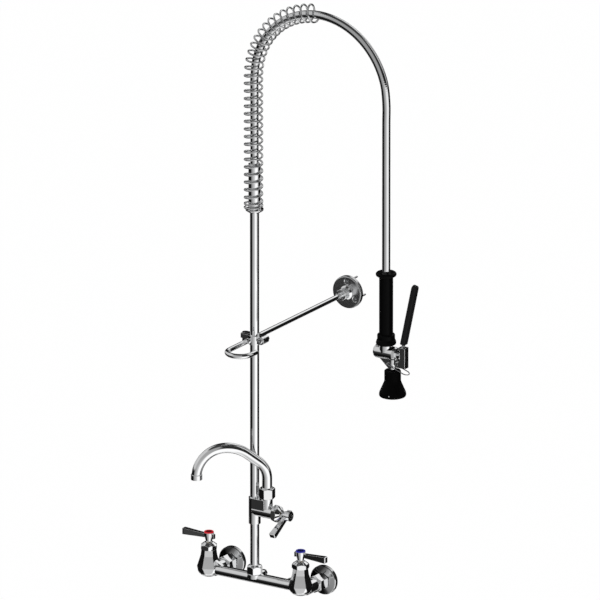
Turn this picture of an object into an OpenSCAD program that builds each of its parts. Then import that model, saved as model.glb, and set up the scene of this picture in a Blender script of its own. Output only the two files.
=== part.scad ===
// Wall-mounted pre-rinse faucet: mixing body with two lever valves, riser, add-on spout,
// wall bracket, hose in an overhead spring and a squeeze-lever spray valve.
// +X runs along the wall, +Y into the wall, +Z up. The origin is halfway between the two
// supply inlets, on the wall. Millimetres.

/* [Supply] */
// Distance between the two supply inlets
inlet_centres = 203.2; // [190:0.1:220]
// Distance from the wall to the centreline of the faucet body
wall_gap = 84; // [82:1:90]
// Height of the body bar over the inlet axes
inlet_drop = 9; // [8:0.5:10]

/* [Body] */
// Diameter of the bar between the two valves
bar_d = 20; // [20:0.5:22]
// Radius over the corners of the hexagonal valve bells, at the foot
bell_r = 22.5; // [22:0.5:24]
// Height of the top of the bells over the bar axis
bell_top = 37; // [35:0.5:39]
// Length of each valve lever from its axis
lever_reach = 57; // [45:1:65]

/* [Riser] */
// Outer diameter of the riser pipe
riser_d = 17.1; // [17.1:0.1:17.4]
// Height of the foot of the spout tee over the bar axis
tee_z = 107; // [95:1:130]
// Height of the top of the riser over the bar axis
riser_top = 745; // [700:5:760]

/* [Spout] */
// Diameter of the spout tube
spout_d = 19.05; // [18:0.05:19.1]
// Distance of the spout axis from the riser axis
spout_x = 27.5; // [27.5:0.5:30]
// Direction of the spout at rest, counterclockwise from +X
spout_turn = 224; // [224:1:300]

/* [Hose and spring] */
// Diameter of the hose
hose_d = 15.5; // [14:0.5:16]
// Mean diameter of the overhead spring
spring_d = 33; // [32:0.5:36]
// Diameter of the spring wire
wire_d = 3.6; // [2.5:0.1:3.6]
// Pitch of the open turns of the spring
spring_pitch = 14.8; // [12:0.1:18]

/* [Bracket] */
// Height of the bracket rod over the bar axis
rod_z = 462; // [350:1:600]
// Diameter of the bracket rod
rod_d = 9.5; // [9:0.1:9.6]
// Distance from the faucet centreline to the front of the wall plate
plate_y = 337; // [200:1:400]
// Diameter of the wall plate
plate_d = 62.6; // [58:0.2:70]

/* [Spray valve] */
// Tilt of the squeeze lever from the vertical
lever_tilt = 12.2; // [12:0.1:15]

/* [Hidden] */
$fn = 64;

// Colours
chrome = "silver";
brass = "goldenrod";
steel = "gainsboro";
black = "dimgray";

// Clearances
run_gap = 0.05;      // radial gap of a turning or sliding fit
body_gap = 0.3;      // gap between faces of pieces that move past each other

// Valve bells: two tapers and a straight band over a round foot
bell_foot = 16.5;    // depth of the dome under the bar axis
bell_edge = -1;      // height of the widest hexagon
bell_flat = 3;       // top of its straight band
bell_waist_z = 25;
bell_waist_r = 15.6;
bell_neck_r = 14;
bell_dome_r = 21.4;
bar_drop = 0.5;      // the bar runs a little under the riser's datum
cartridge_r = 9.3;
spigot_r = 11;       // threaded end of a bonnet
spigot_h = 9;
stem_r = 4;

// Inlet unions, measured from the faucet centreline towards the wall
neck_r = 12.5;
neck_start = 18;
neck_end = 56;
union_front = 47;
union_lip = 61;
union_rear = 71;
union_r = 17.2;      // over the corners
arm_r = 9.5;
arm_hex_r = 12.5;
arm_hex_rear = 73;
socket_r = 12.6;     // rear socket that takes the supply pipe
thread_r = 9.4;      // 1/2 in pipe thread
thread_l = 12;
flange_r = 28;

// Bonnets and handles, measured along the stem from the face that the bonnet sits on
bonnet_h = 14;
tee_bonnet_h = 15.5;
bonnet_r = 16.6;     // over the corners
tee_bonnet_r = 16.8;
hub_gap = 0.6;
hub_h = 20;
blade_z = 11.4;      // axis of the lever over the foot of the hub
hub_foot_r = 5.8;
hub_top_r = 9.3;
button_r = 9.2;
tee_button_r = 5;
button_h = 2;
screw_head_r = 3.6;
screw_head_h = 3;

// Riser base and tee
base_nut_z = 8;
base_nut_h = 17;
nut_r = 15.2;        // over the corners
base_nut_turn = 51;
spout_nut_turn = 40;
riser_foot = 2;
riser_bore_r = 6.2;
tee_h = 51;
tee_r = 11.3;
tee_socket = 15;     // depth of each pipe socket
branch_z = tee_z + 27;
branch_r = 12;
branch_end = 44;
spout_socket_r = 10.5;
spout_thread_r = 11.5;
spout_nut_z = tee_z + tee_h + 3;
spout_nut_h = 20;
spout_thread_h = 12;
spout_foot = spout_nut_z - 10;

// Spout: a straight rise, an arc, a sloping run, a wide arc and a quarter circle
spout_bore = spout_d - 2.4;
rise_top = 200;
rise_bend_r = 42;
rise_bend = 52;
slope_l = 27;
crown_r = 70;
drop_r = 53;
outlet_z = 206.5;
outlet_r = 10.7;
outlet_h = 9.6;
collar_play = 0.3;   // the collar's room for the start of the bend

// Hose route in the row frame, as [x, z]; it lies in the plane of the faucet centreline
hose_x = 290;
hose_exit_z = 819;
hose_end_z = 658;
arch_z = 988;        // height of the centre of the arch
arch_r = 145;
hose_sides = 12;
hose_route = [
    [0, 819], [0, 850], [0, 885], [0, 920], [0, 955], [0, 988],
    [5, 1025.5], [19.5, 1060.5], [42.5, 1090.5], [72.5, 1113.5], [107.5, 1128], [145, 1133],
    [182.5, 1128], [217.5, 1113.5], [247.5, 1090.5], [270.5, 1060.5], [285, 1025.5],
    [290, 988], [290, 950], [290, 910], [290, 870], [290, 830], [290, 790],
    [290, 750], [290, 715], [290, 685], [290, 658],
];

// Hose coupling and spring seat
coupling_z = 722.5;
coupling_r = 11.5;
coupling_top = hose_exit_z - inlet_drop;
seat_h = 7;
seat_r = 17;
seat_foot_r = 10;

// Overhead spring: a few closer turns at the foot, then open turns round the arch
spring_foot = coupling_z + wire_d / 2;
close_turns = 1.5;
close_pitch = 7.5;
open_turns = 31.1;
spring_lift = 2.2;    // the coil's line lies this far outside the hose's
curl_rings = 8;
wire_sides = 6;

// Bracket
rod_x = -13.75;
hook_r = 24.5;
hook_y = -65.5;
hook_leg = 16;
clamp_low = 456;
clamp_strap_low = 459;
clamp_ear_low = 461;
clamp_top = 476;
clamp_split = 0.2;
clamp_depth = 12;
clamp_left = -24.5;    // centre of the round left end
clamp_screw_x = 17.6;  // and of the right end, round the screw
strap_depth = 7;
clamp_screw_z = 468.5;
plate_t = 8;
plate_screw_pcd = 42;
plate_screw_r = 1.9;
plate_screw_out = 31;
screw_head_wide = 4.6;
screw_sunk = 1.1;      // depth of the screw heads under the plate's face
sink_r = 6.1;
hub_hex_r = 11.8;
hub_hex_l = 14;
hub_collar_r = 13.5;
hub_l = 19.5;

// Spray valve, with x measured from the hose axis
spray_z = 495;       // height of the horizontal barrel
barrel_r = 13;
barrel_left = -23.4;
barrel_right = 24;
barrel_bore_r = 7;
neck_x = 14.5;
spray_neck_r = 6.5;
head_r = 12.5;
head_top = 452;
head_low = 430;
bumper_top = 462.6;
pivot_x = 27;
pivot_z = 476.5;
pin_r = 2;
lug_w = 8.4;
saddle_w = 13;
saddle_wall = 2;
saddle_left = 31;
saddle_right = 45;
saddle_low = 471;
saddle_top = 511;
plunger_r = 3;
plunger_face = -10;
ring_x = 5;
ring_z = 475;
ring_wire_r = 1;
ring_half_w = 8.3;
ring_corner_r = 2.4;
ring_l = 38.7;
ring_drop = 18.7;

// ---- places ----------------------------------------------------------------------------

// Moves to the crossing of the riser axis and the bar axis.
module centre() translate([0, -wall_gap, inlet_drop]) children();

// +Z of these children runs along the bar from its left end.
module at_bar() centre() translate([-inlet_centres / 2, 0, -bar_drop]) along_x() children();

module at_valve(side) centre() translate([side * inlet_centres / 2, 0, 0]) children();

// Turns +Z of its children to face the wall, at the height of an inlet.
module at_inlet(side) at_valve(side) translate([0, 0, -inlet_drop]) rotate([-90, 0, 0]) children();

// The stem of a lever valve runs along +Z of these places, and its lever along +X.
module at_lever_valve(side) at_valve(side) translate([0, 0, bell_top])
    rotate([0, 0, side < 0 ? 180 : 0]) children();

tee_lever_dip = 27;
module at_tee_valve() centre() translate([branch_end, 0, branch_z])
    rotate([tee_lever_dip - 90, 0, 0]) rotate([0, 90, 0]) children();

module at_spout() centre() translate([spout_x, 0, 0]) rotate([0, 0, spout_turn]) children();

module at_spray() centre() translate([hose_x, 0, 0]) children();

module along_x() rotate([0, 90, 0]) children();

module along_y() rotate([-90, 0, 0]) children();

// ---- shapes used more than once ---------------------------------------------------------

// A hexagonal nut with both rims turned off; r is over the corners.
module hex_block(r, h, chamfer = 1.5) intersection() {
    cylinder(r = r, h = h, $fn = 6);
    rotate_extrude() polygon([
        [0, 0], [r - chamfer, 0], [r, chamfer * 0.7], [r, h - chamfer * 0.7], [r - chamfer, h], [0, h],
    ]);
}

// A ring about Z from z to z + h.
module pipe(r, bore_r, z, h) translate([0, 0, z]) difference() {
    cylinder(r = r, h = h);
    translate([0, 0, -1]) cylinder(r = bore_r, h = h + 2);
}

// ---- mixing body -------------------------------------------------------------------------

module bell() intersection() {
    rotate([0, 0, 30]) {
        translate([0, 0, bell_waist_z])
            cylinder(r1 = bell_waist_r, r2 = bell_neck_r, h = bell_top - bell_waist_z, $fn = 6);
        translate([0, 0, bell_flat])
            cylinder(r1 = bell_r, r2 = bell_waist_r, h = bell_waist_z - bell_flat, $fn = 6);
        translate([0, 0, -bell_foot]) cylinder(r = bell_r, h = bell_foot + bell_flat, $fn = 6);
    }
    rotate_extrude() polygon(concat(
        [[0, bell_top], [0, -bell_foot]],
        [for (a = [-75:15:0]) [bell_dome_r * cos(a), bell_edge + (bell_foot + bell_edge) * sin(a)]],
        [[bell_r, bell_edge + 5], [bell_r, bell_top - 2], [bell_neck_r - 1, bell_top]]
    ));
}

// A fin that runs from the side of a bell down to the bar.
module bell_web() translate([0, 3.5, 0]) rotate([90, 0, 0]) linear_extrude(7)
    polygon([[8, -8], [8, 22], [14, 18], [34, 8], [34, -8]]);

module faucet_body() color(chrome) difference() {
    union() {
        at_bar() cylinder(d = bar_d, h = inlet_centres);
        for (side = [-1, 1]) {
            at_valve(side) bell();
            at_valve(side) mirror([side > 0 ? 1 : 0, 0, 0]) bell_web();
            at_inlet(side) cylinder(r1 = 4, r2 = neck_r, h = neck_start);
            at_inlet(side) translate([0, 0, neck_start]) cylinder(r = neck_r, h = neck_end - neck_start);
        }
        centre() cylinder(r = nut_r - 1, h = base_nut_z);
        centre() along_y() cylinder(r = 6.5, h = 28);
    }
    for (side = [-1, 1]) {
        at_valve(side) translate([0, 0, -10]) cylinder(r = cartridge_r, h = 60);
        at_valve(side) translate([0, 0, bell_top - spigot_h]) cylinder(r = spigot_r, h = 20);
        at_inlet(side) cylinder(r = 5, h = neck_end);
        at_inlet(side) translate([0, 0, neck_start + 2]) cylinder(r = 7, h = neck_end);
    }
    at_bar() cylinder(r = 6, h = inlet_centres);
    centre() translate([0, 0, riser_foot]) cylinder(d = riser_d, h = 20);
    centre() cylinder(r = riser_bore_r, h = 20);
    centre() translate([0, 0, base_nut_z]) cylinder(r = nut_r + body_gap, h = 20);
    centre() along_y() translate([0, 0, 20]) cylinder(r = 4.5, h = 20);
}

module body_plug() color(chrome) centre() along_y() {
    translate([0, 0, 20]) cylinder(r = 4.5, h = 8);
    translate([0, 0, 28]) hex_block(7, 6, 1);
}

// ---- valves ------------------------------------------------------------------------------

// The cartridge of a lever valve, down from the face that the bonnet sits on.
module cartridge(depth) difference() {
    translate([0, 0, -depth]) cylinder(r = cartridge_r, h = depth - spigot_h);
    translate([0, 0, -depth + 7]) cylinder(r = stem_r + run_gap, h = depth);
    translate([0, 0, -depth - 1]) cylinder(r = 3, h = depth);
    translate([0, 0, -depth + 3.9]) cylinder(r = 7.4, h = 3.2);
}

// The stem and the ceramic disc that it turns; r of the disc is under the cartridge's pocket.
module stem(depth, top) {
    translate([0, 0, -depth + 4]) cylinder(r = 7.1, h = 3);
    difference() {
        translate([0, 0, -depth + 7]) cylinder(r = stem_r, h = top + depth - 7);
        translate([0, 0, top - 8]) cylinder(r = 2, h = 9);
    }
}

module bonnet(r, h) difference() {
    union() {
        translate([0, 0, -spigot_h]) cylinder(r = spigot_r, h = spigot_h);
        intersection() {
            cylinder(r = r, h = h, $fn = 6);
            rotate_extrude() polygon([
                [0, 0], [r - 1.8, 0], [r, 1.5], [r, h * 0.52], [r - 0.8, h * 0.6], [r - 3, h * 0.72],
                [r * 0.62, h * 0.9], [r * 0.5, h], [0, h],
            ]);
        }
    }
    translate([0, 0, -spigot_h - 1]) cylinder(r = stem_r + run_gap, h = h + spigot_h + 2);
}

// A lever handle: a flared hub with a dish for the button, a tail lobe and the lever.
module lever_handle(h, dish_r) translate([0, 0, h + hub_gap]) difference() {
    rim_z = dish_r > hub_top_r - 1 ? hub_h - button_h : hub_h;
    union() {
        cylinder(r1 = hub_foot_r, r2 = hub_top_r - 0.5, h = hub_h * 0.62);
        translate([0, 0, hub_h * 0.62])
            cylinder(r1 = hub_top_r - 0.5, r2 = hub_top_r, h = rim_z - hub_h * 0.62);
        translate([0, 0, blade_z]) lever_blade();
        translate([-12.2, -3, blade_z - 4.5]) cube([6, 6, 9]);
    }
    translate([0, 0, hub_h - button_h]) cylinder(r = dish_r, h = button_h + 1);
    translate([0, 0, hub_h - button_h - screw_head_h]) cylinder(r = screw_head_r, h = 6);
    cylinder(r = 2, h = hub_h);
    translate([0, 0, -1]) cylinder(r = stem_r, h = hub_h - 8 + 1);
}

// The blade grows from the hub to its square end.
module lever_blade() hull() {
    translate([5, -3.6, -3.5]) cube([1, 7.2, 7]);
    translate([lever_reach - 4, -4.8, -6]) cube([3, 9.6, 11.8]);
    translate([lever_reach - 0.8, -3.8, -5.2]) cube([0.8, 7.6, 10.2]);
}

module handle_screw(h) translate([0, 0, h + hub_gap]) {
    translate([0, 0, hub_h - button_h - screw_head_h])
        cylinder(r = screw_head_r, h = screw_head_h - 0.4);
    translate([0, 0, hub_h - 16]) cylinder(r = 2, h = 16 - button_h - screw_head_h);
}

module index_button(h, r) translate([0, 0, h + hub_gap + hub_h - button_h]) rotate_extrude()
    polygon([[0, 0], [r, 0], [r, button_h - 0.5], [r - 0.6, button_h + 0.2], [r - 1.4, button_h + 0.2],
        [r - 2.2, button_h - 0.3], [0, button_h - 0.3]]);

hot_depth = bell_top + 10;
tee_depth = 26;
stem_top_hot = bonnet_h + hub_gap + hub_h - 8;
stem_top_tee = tee_bonnet_h + hub_gap + hub_h - 8;

module hot_cartridge() color(brass) at_lever_valve(-1) cartridge(hot_depth);
module cold_cartridge() color(brass) at_lever_valve(1) cartridge(hot_depth);
module hot_bonnet() color(chrome) at_lever_valve(-1) bonnet(bonnet_r, bonnet_h);
module cold_bonnet() color(chrome) at_lever_valve(1) rotate([0, 0, -20]) bonnet(bonnet_r, bonnet_h);
module hot_stem() color(brass) at_lever_valve(-1) stem(hot_depth, stem_top_hot);
module cold_stem() color(brass) at_lever_valve(1) stem(hot_depth, stem_top_hot);
module hot_handle() color(chrome) at_lever_valve(-1) lever_handle(bonnet_h, button_r);
module cold_handle() color(chrome) at_lever_valve(1) lever_handle(bonnet_h, button_r);
module hot_handle_screw() color(steel) at_lever_valve(-1) handle_screw(bonnet_h);
module cold_handle_screw() color(steel) at_lever_valve(1) handle_screw(bonnet_h);
module hot_index_button() color("crimson") at_lever_valve(-1) index_button(bonnet_h, button_r);
module cold_index_button() color("navy") at_lever_valve(1) index_button(bonnet_h, button_r);

module tee_cartridge() color(brass) at_tee_valve() cartridge(tee_depth);
module tee_bonnet() color(chrome) at_tee_valve() bonnet(tee_bonnet_r, tee_bonnet_h);
module tee_stem() color(brass) at_tee_valve() stem(tee_depth, stem_top_tee);
module tee_handle() color(chrome) at_tee_valve() lever_handle(tee_bonnet_h, tee_button_r);
module tee_handle_screw() color(steel) at_tee_valve() handle_screw(tee_bonnet_h);
module tee_index_button() color(black) at_tee_valve() index_button(tee_bonnet_h, tee_button_r);

// ---- inlet unions ------------------------------------------------------------------------

module union_nut() difference() {
    translate([0, 0, union_front]) rotate([0, 0, 30]) hex_block(union_r, union_rear - union_front, 2.6);
    translate([0, 0, union_front - 1]) cylinder(r = neck_r, h = union_lip - union_front + 1);
    cylinder(r = arm_r, h = union_rear + 1);
}

module inlet_arm() difference() {
    union() {
        translate([0, 0, union_lip - 3]) cylinder(r = neck_r - 0.5, h = 3);
        translate([0, 0, union_lip]) cylinder(r = arm_r, h = wall_gap - union_lip);
        translate([0, 0, union_rear]) rotate([0, 0, 30])
            hex_block(arm_hex_r, arm_hex_rear - union_rear, 0.8);
        translate([0, 0, arm_hex_rear]) cylinder(r = socket_r, h = wall_gap - arm_hex_rear);
    }
    cylinder(r = 6.5, h = wall_gap);
    translate([0, 0, wall_gap - thread_l]) cylinder(r = thread_r, h = thread_l + 1);
}

// A cupped wall flange: a shallow cone with a straight rim that stands on the wall.
module wall_flange() rotate_extrude() polygon([
    [socket_r, arm_hex_rear], [15, arm_hex_rear], [flange_r - 2.4, arm_hex_rear + 2.4],
    [flange_r - 0.8, arm_hex_rear + 3], [flange_r, arm_hex_rear + 4.4], [flange_r, wall_gap],
    [flange_r - 2.2, wall_gap], [flange_r - 2.2, arm_hex_rear + 5], [15, arm_hex_rear + 2.4],
    [socket_r, arm_hex_rear + 2.4],
]);

module hot_union_nut() color(chrome) at_inlet(-1) union_nut();
module cold_union_nut() color(chrome) at_inlet(1) union_nut();
module hot_inlet_arm() color(chrome) at_inlet(-1) inlet_arm();
module cold_inlet_arm() color(chrome) at_inlet(1) inlet_arm();
module hot_wall_flange() color(chrome) at_inlet(-1) wall_flange();
module cold_wall_flange() color(chrome) at_inlet(1) wall_flange();

module union_washers() color(black) for (side = [-1, 1])
    at_inlet(side) pipe(neck_r - 0.5, 7, neck_end, union_lip - 3 - neck_end);

// ---- riser and spout tee -----------------------------------------------------------------

module riser_nut() color(chrome) centre() difference() {
    translate([0, 0, base_nut_z]) rotate([0, 0, base_nut_turn]) intersection() {
        hex_block(nut_r, base_nut_h);
        rotate_extrude() polygon([
            [0, 0], [nut_r, 0], [nut_r, base_nut_h - 5], [nut_r - 2, base_nut_h - 2],
            [nut_r - 5, base_nut_h], [0, base_nut_h],
        ]);
    }
    cylinder(d = riser_d, h = 60);
}

module lower_riser() color(chrome) centre()
    pipe(riser_d / 2, riser_bore_r, riser_foot, tee_z + tee_socket - riser_foot);

module upper_riser() color(chrome) centre()
    pipe(riser_d / 2, riser_bore_r, tee_z + tee_h - tee_socket, riser_top - tee_z - tee_h + tee_socket);

module spout_tee() color(chrome) centre() difference() {
    union() {
        translate([0, 0, tee_z]) cylinder(r = tee_r, h = tee_h);
        translate([0, -tee_r, branch_z]) cube([spout_x, 2 * tee_r, tee_z + tee_h - branch_z]);
        translate([0, 0, branch_z]) along_x() cylinder(r = branch_r, h = branch_end);
        translate([spout_x, 0, branch_z]) cylinder(r = spout_socket_r, h = spout_nut_z - branch_z);
        translate([spout_x, 0, spout_nut_z]) cylinder(r = spout_thread_r, h = spout_thread_h);
    }
    translate([0, 0, tee_z - 1]) cylinder(d = riser_d, h = tee_socket + 1);
    translate([0, 0, tee_z]) cylinder(r = riser_bore_r, h = tee_h);
    translate([0, 0, tee_z + tee_h - tee_socket]) cylinder(d = riser_d, h = tee_socket + 1);
    translate([0, 0, branch_z]) along_x() cylinder(r = 3.5, h = branch_end);
    translate([branch_end - tee_depth, 0, branch_z]) along_x() cylinder(r = cartridge_r, h = 40);
    translate([branch_end - spigot_h, 0, branch_z]) along_x() cylinder(r = spigot_r, h = 20);
    translate([spout_x, 0, branch_z]) cylinder(r = 5, h = 30);
    translate([spout_x, 0, spout_foot - body_gap]) cylinder(d = spout_d + 2 * run_gap, h = 40);
}

module spout_nut() color(chrome) centre() translate([spout_x, 0, spout_nut_z]) difference() {
    rotate([0, 0, spout_nut_turn]) hex_block(nut_r + 0.2, spout_nut_h, 2.6);
    translate([0, 0, -1]) cylinder(r = spout_thread_r, h = spout_thread_h + 2.5);
    cylinder(d = spout_d + 2 * run_gap, h = spout_nut_h + 1);
}

// ---- swing spout -------------------------------------------------------------------------

slope_angle = 90 - rise_bend;
slope_x = rise_bend_r * (1 - cos(rise_bend));
slope_z = rise_top + rise_bend_r * sin(rise_bend);
crown_x = slope_x + slope_l * cos(slope_angle) + crown_r * sin(slope_angle);
crown_z = slope_z + slope_l * sin(slope_angle) - crown_r * cos(slope_angle);
spout_reach = crown_x + drop_r;
drop_z = crown_z + crown_r - drop_r;

// A bend of the tube in the XZ plane about its own centre, from an angle measured from +X to +Z.
module spout_bend(r, from, turn) rotate([90, 0, 0]) rotate([0, 0, from])
    rotate_extrude(angle = turn) translate([r, 0]) difference() {
        circle(d = spout_d, $fn = 32);
        circle(d = spout_bore, $fn = 32);
    }

module spout_length(z, h) pipe(spout_d / 2, spout_bore / 2, z, h);

// A ring that joins two lengths of the tube end to end, from inside.
module spout_joint(z) pipe(spout_bore / 2 + 0.8, spout_bore / 2 - 0.2, z - 1, 2);

joint_gap = 0.02;
module spout_tube() color(chrome) at_spout() {
    spout_length(spout_foot, rise_top - spout_foot);
    translate([rise_bend_r, 0, rise_top]) spout_bend(rise_bend_r, 180, -rise_bend);
    translate([slope_x, 0, slope_z]) rotate([0, rise_bend, 0]) rotate([0, 0, 180]) {
        spout_joint(0);
        spout_length(joint_gap, slope_l - 2 * joint_gap);
        spout_joint(slope_l);
    }
    translate([crown_x, 0, crown_z]) {
        spout_bend(crown_r, 90, slope_angle);
        translate([0, 0, crown_r - drop_r]) {
            spout_bend(drop_r, 0, 90);
            translate([drop_r, 0, outlet_z + 4 - drop_z]) spout_length(0, drop_z - outlet_z - 4);
        }
    }
}

// The sleeve that holds the foot of the spout in its nut.
module spout_bushing() color(black) at_spout() difference() {
    translate([0, 0, spout_foot]) cylinder(d = spout_bore, h = 14);
    translate([0, 0, spout_foot - 1]) cylinder(r = 6.5, h = 20);
}

module outlet_collar() color(chrome) at_spout() translate([spout_reach, 0, outlet_z]) difference() {
    cylinder(r = outlet_r, h = outlet_h);
    translate([0, 0, 4]) cylinder(d = spout_d + 2 * collar_play, h = outlet_h);
    translate([0, 0, -1]) cylinder(r = 8, h = 20);
}

module outlet_screen() color(steel) at_spout() translate([spout_reach, 0, outlet_z + 1]) difference() {
    cylinder(r = 8, h = 3);
    for (x = [-4.5:3:4.5], y = [-4.5:3:4.5]) translate([x, y, -1]) cylinder(r = 1, h = 5);
}

// ---- hose coupling, hose and spring ------------------------------------------------------

module hose_coupling() color(chrome) centre() difference() {
    translate([0, 0, coupling_z]) cylinder(r = coupling_r, h = coupling_top - coupling_z);
    translate([0, 0, coupling_z - 1]) cylinder(d = riser_d, h = riser_top - coupling_z + 3);
    translate([0, 0, coupling_z]) cylinder(r = riser_bore_r, h = coupling_top - coupling_z + 1);
}

module hose_washer() color(black) centre() pipe(riser_d / 2, riser_bore_r, riser_top, 2);

module spring_seat() color(chrome) centre() difference() {
    translate([0, 0, coupling_z - seat_h]) rotate_extrude() polygon([
        [0, 0], [seat_foot_r, 0], [seat_r - 0.8, seat_h - 3], [seat_r, seat_h - 2], [seat_r, seat_h],
        [0, seat_h],
    ]);
    translate([0, 0, coupling_z - seat_h - 1]) cylinder(d = riser_d, h = seat_h + 2);
}

// Sides of a tube between rings of n points each, and its two end caps.
function tube_faces(rings, n) = concat(
    [for (i = [0:rings - 2], k = [0:n - 1]) let (a = i * n + k, b = i * n + (k + 1) % n)
        each [[a, a + n, b + n], [a, b + n, b]]],
    [for (k = [1:n - 2]) [0, k, k + 1]],
    [for (k = [1:n - 2]) let (e = (rings - 1) * n) [e, e + k + 1, e + k]]
);

function unit(v) = v / norm(v);

// Direction of the hose route at its point i.
function hose_way(i) = let (
    p = hose_route[max(0, i - 1)],
    q = hose_route[min(len(hose_route) - 1, i + 1)]
) i == 0 || i == len(hose_route) - 1 ? [0, i == 0 ? 1 : -1] : unit(q - p);

module hose() color(steel) {
    points = [for (i = [0:len(hose_route) - 1], k = [0:hose_sides - 1])
        let (t = hose_way(i), p = hose_route[i], a = 360 * k / hose_sides, r = hose_d / 2)
        [p[0] - t[1] * r * cos(a), -wall_gap + r * sin(a), p[1] + t[0] * r * cos(a)]];
    polyhedron(points = points, faces = tube_faces(len(hose_route), hose_sides));
}

// Height of the spring's axis over its foot after that many turns.
function spring_rise(turns) = min(turns, close_turns) * close_pitch
    + max(0, turns - close_turns) * spring_pitch;

// A point at distance r and angle a round the line of the hose, that far along from the foot.
function round_hose(s, r, a) = let (
    straight = arch_z - inlet_drop - spring_foot,
    bend = max(0, s - straight) / arch_r * 180 / PI,
    out = arch_r + spring_lift + r * cos(a),
    reach = arch_r - out * cos(bend),
    rise = out * sin(bend)
) [reach, r * sin(a), spring_foot + min(s, straight) + rise];

function spring_point(turns) = round_hose(spring_rise(turns), spring_d / 2, -360 * turns);

spring_turns = close_turns + open_turns;
spring_rings = floor(spring_turns * curl_rings);

// One ring of the wire, square to its line.
function wire_ring(i) = let (
    turns = i / curl_rings,
    p = spring_point(turns),
    t = unit(spring_point(turns + 0.01) - spring_point(turns - 0.01)),
    out = unit(p - round_hose(spring_rise(turns), 0, 0)),
    u = unit(out - t * (out * t)),
    v = cross(t, u)
) [for (k = [0:wire_sides - 1]) let (a = 360 * k / wire_sides)
    p + wire_d / 2 * (cos(a) * u + sin(a) * v)];

module overhead_spring() color(steel) centre() {
    points = [for (i = [0:spring_rings]) each wire_ring(i)];
    polyhedron(points = points, faces = tube_faces(spring_rings + 1, wire_sides));
}

// The least gap between two turns of the spring, measured between points of its line.
spring_samples = [for (i = [0:spring_rings]) spring_point(i / curl_rings)];
least_gap = min([for (i = [0:spring_rings - curl_rings], k = [-2:2])
    let (j = i + curl_rings + k) if (j <= spring_rings && j > i + 3)
    norm(spring_samples[j] - spring_samples[i])]) - wire_d;
echo(overhead_spring_least_gap_mm = least_gap);

// ---- wall bracket ------------------------------------------------------------------------

module clamp_outline() {
    translate([clamp_left, clamp_split]) square([24 - clamp_left, clamp_depth - clamp_split]);
    translate([clamp_left, (clamp_depth + clamp_split) / 2]) circle(r = (clamp_depth - clamp_split) / 2);
}

module clamp_rear() color(chrome) centre() difference() {
    translate([0, 0, clamp_low]) linear_extrude(clamp_top - clamp_low) clamp_outline();
    translate([-4, -1, clamp_low - 1]) cube([40, 20, clamp_ear_low - clamp_low + 1]);
    clamp_ear_end();
    cylinder(r = riser_d / 2 + run_gap, h = 600);
    translate([rod_x, -30, rod_z]) along_y() cylinder(r = rod_d / 2 + run_gap, h = 60);
    translate([clamp_screw_x, -30, clamp_screw_z]) along_y() cylinder(r = 2.4, h = 60);
}

// Cuts an ear of the clamp round, about the axis of the screw.
module clamp_ear_end() translate([clamp_screw_x, 0, clamp_screw_z]) along_y() difference() {
    translate([0, -20, -20]) cube([20, 40, 40]);
    translate([0, 0, -21]) cylinder(r = clamp_top - clamp_screw_z, h = 42);
}

// The strap hugs the front of the riser, with a tongue over the rod and an ear for the screw.
strap_t = 3.2;
module clamp_front() color(chrome) centre() difference() {
    union() {
        translate([0, 0, clamp_strap_low])
            cylinder(r = riser_d / 2 + strap_t, h = clamp_top - clamp_strap_low);
        translate([0, 0, rod_z + rod_d / 2 + 0.8]) linear_extrude(clamp_top - rod_z - rod_d / 2 - 0.8) {
            translate([clamp_left, -strap_depth]) square([18, strap_depth]);
            translate([clamp_left, -strap_depth / 2]) circle(r = strap_depth / 2);
        }
        translate([6, -strap_depth, clamp_ear_low]) cube([20, strap_depth, clamp_top - clamp_ear_low]);
    }
    clamp_ear_end();
    translate([-40, -clamp_split, 0]) cube([80, 40, 600]);
    cylinder(r = riser_d / 2 + run_gap, h = 600);
    translate([rod_x, -30, rod_z]) along_y() cylinder(r = rod_d / 2 + 0.8, h = 60);
    translate([clamp_screw_x, -30, clamp_screw_z]) along_y() cylinder(r = 2.4, h = 60);
}

module clamp_screw() color(steel) centre() translate([clamp_screw_x, 0, clamp_screw_z]) along_y() {
    difference() {
        union() {
            translate([0, 0, -strap_depth - 4.4]) cylinder(r1 = 4, r2 = 5, h = 1.2);
            translate([0, 0, -strap_depth - 3.2]) cylinder(r = 5, h = 3.2);
            translate([0, 0, -strap_depth]) cylinder(r = 2.4, h = strap_depth + clamp_depth + 6);
        }
        translate([0, 0, -strap_depth - 5]) cylinder(r = 2.2, h = 3, $fn = 6);
    }
    difference() {
        translate([0, 0, clamp_depth]) hex_block(5.6, 4, 0.8);
        translate([0, 0, clamp_depth - 1]) cylinder(r = 2.4, h = 8);
    }
}

// The rod runs from the wall plate past the riser and bends round into an open hook.
module bracket_rod() color(chrome) centre() translate([rod_x, 0, rod_z]) {
    translate([0, hook_y, 0]) along_y() cylinder(d = rod_d, h = plate_y + 3 - hook_y, $fn = 32);
    translate([hook_r, hook_y, 0]) rotate([0, 0, 180]) rotate_extrude(angle = 180)
        translate([hook_r, 0]) circle(d = rod_d, $fn = 32);
    translate([2 * hook_r, hook_y, 0]) along_y() cylinder(d = rod_d, h = hook_leg, $fn = 32);
    translate([2 * hook_r, hook_y + hook_leg, 0]) sphere(d = rod_d, $fn = 32);
}

module at_plate() centre() translate([rod_x, plate_y, rod_z]) along_y() children();

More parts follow.
